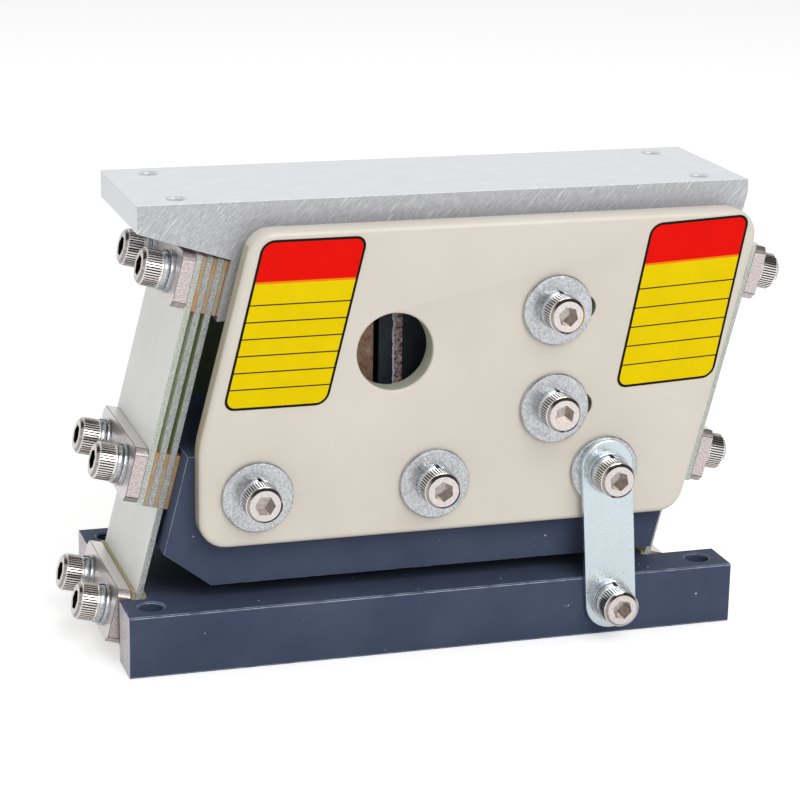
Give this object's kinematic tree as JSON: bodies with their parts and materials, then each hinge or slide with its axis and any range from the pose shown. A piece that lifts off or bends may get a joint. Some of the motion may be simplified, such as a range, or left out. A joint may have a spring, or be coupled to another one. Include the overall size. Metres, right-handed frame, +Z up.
{
  "type": "linear vibratory feeder",
  "caption": "Electromagnetic linear feeder drive: an aluminium tray block on leaning leaf springs, over a steel counterweight and a slotted base plate.",
  "frame": {"origin": "middle of the base plate's underside", "axes": "+Z up, +X along the base towards the end that the springs lean to, +Y towards the back; the transport bracket is on the front, -Y"},
  "size_m": [0.1655, 0.0753, 0.1015],
  "materials": {
    "base_paint": "dark blue satin paint",
    "cover_paint": "cream satin paint",
    "zinc": "bright zinc plating",
    "tray_aluminium": "milled",
    "spring_sheet": "glass-fibre laminate, satin",
    "spacer_sheet": "phenolic board, sawn",
    "nickel": "bright nickel plating",
    "clamp_steel": "satin, machined",
    "armature_steel": "laminated, ground",
    "core_steel": "laminated, varnished",
    "holder_steel": "machined",
    "coil_wire": "enamelled copper wire",
    "bobbin_plastic": "moulded",
    "tape": "matt tape",
    "sleeve_paper": "varnished paper",
    "rubber": "matt"
  },
  "bodies": {
    "base_unit": {"base_plate": "base_paint", "counterweight_block": "base_paint", "front_side_plate": "cover_paint", "back_side_plate": "cover_paint", "transport_bracket": "zinc", "magnet_core": "core_steel", "coil_bobbin": "bobbin_plastic", "magnet_coil": "coil_wire", "magnet_sleeve": "sleeve_paper", "magnet_wrap": "tape", "magnet_holder": "holder_steel", "core_bolts": "nickel", "cable_grommet": "rubber", "left_inner_leaf": "spring_sheet", "left_middle_leaf": "spring_sheet", "left_outer_leaf": "spring_sheet", "right_inner_leaf": "spring_sheet", "right_middle_leaf": "spring_sheet", "right_outer_leaf": "spring_sheet", "left_mid_spacers": "spacer_sheet", "left_base_spacers": "spacer_sheet", "right_mid_spacers": "spacer_sheet", "right_base_spacers": "spacer_sheet", "left_mid_clamp": "clamp_steel", "left_base_clamp": "clamp_steel", "right_mid_clamp": "clamp_steel", "right_base_clamp": "clamp_steel", "left_mid_screws": "nickel", "left_base_screws": "nickel", "right_mid_screws": "nickel", "right_base_screws": "nickel", "clamp_flat_washers": "zinc", "clamp_lock_washers": "zinc", "front_plate_screws": "nickel", "front_magnet_screws": "nickel", "bracket_screws": "nickel", "front_body_washers": "zinc", "front_flat_washers": "zinc", "front_lock_washers": "zinc", "back_plate_screws": "nickel", "back_magnet_screws": "nickel", "back_body_washers": "zinc", "back_flat_washers": "zinc", "back_lock_washers": "zinc"},
    "tray_unit": {"tray_block": "tray_aluminium", "armature": "armature_steel", "armature_screws": "nickel", "left_top_clamp": "clamp_steel", "right_top_clamp": "clamp_steel", "left_top_screws": "nickel", "right_top_screws": "nickel", "tray_flat_washers": "zinc", "tray_lock_washers": "zinc", "left_top_spacers": "spacer_sheet", "right_top_spacers": "spacer_sheet"}
  },
  "joints": [
    {"name": "tray_vibration", "type": "slide", "parent": "base_unit", "child": "tray_unit", "axis": [-0.9703, 0, 0.2419], "range_m": [-0.0005, 0.0005], "stiffness_N_per_m": 60000, "deforming": ["left_inner_leaf", "left_middle_leaf", "left_outer_leaf", "right_inner_leaf", "right_middle_leaf", "right_outer_leaf"]}
  ]
}
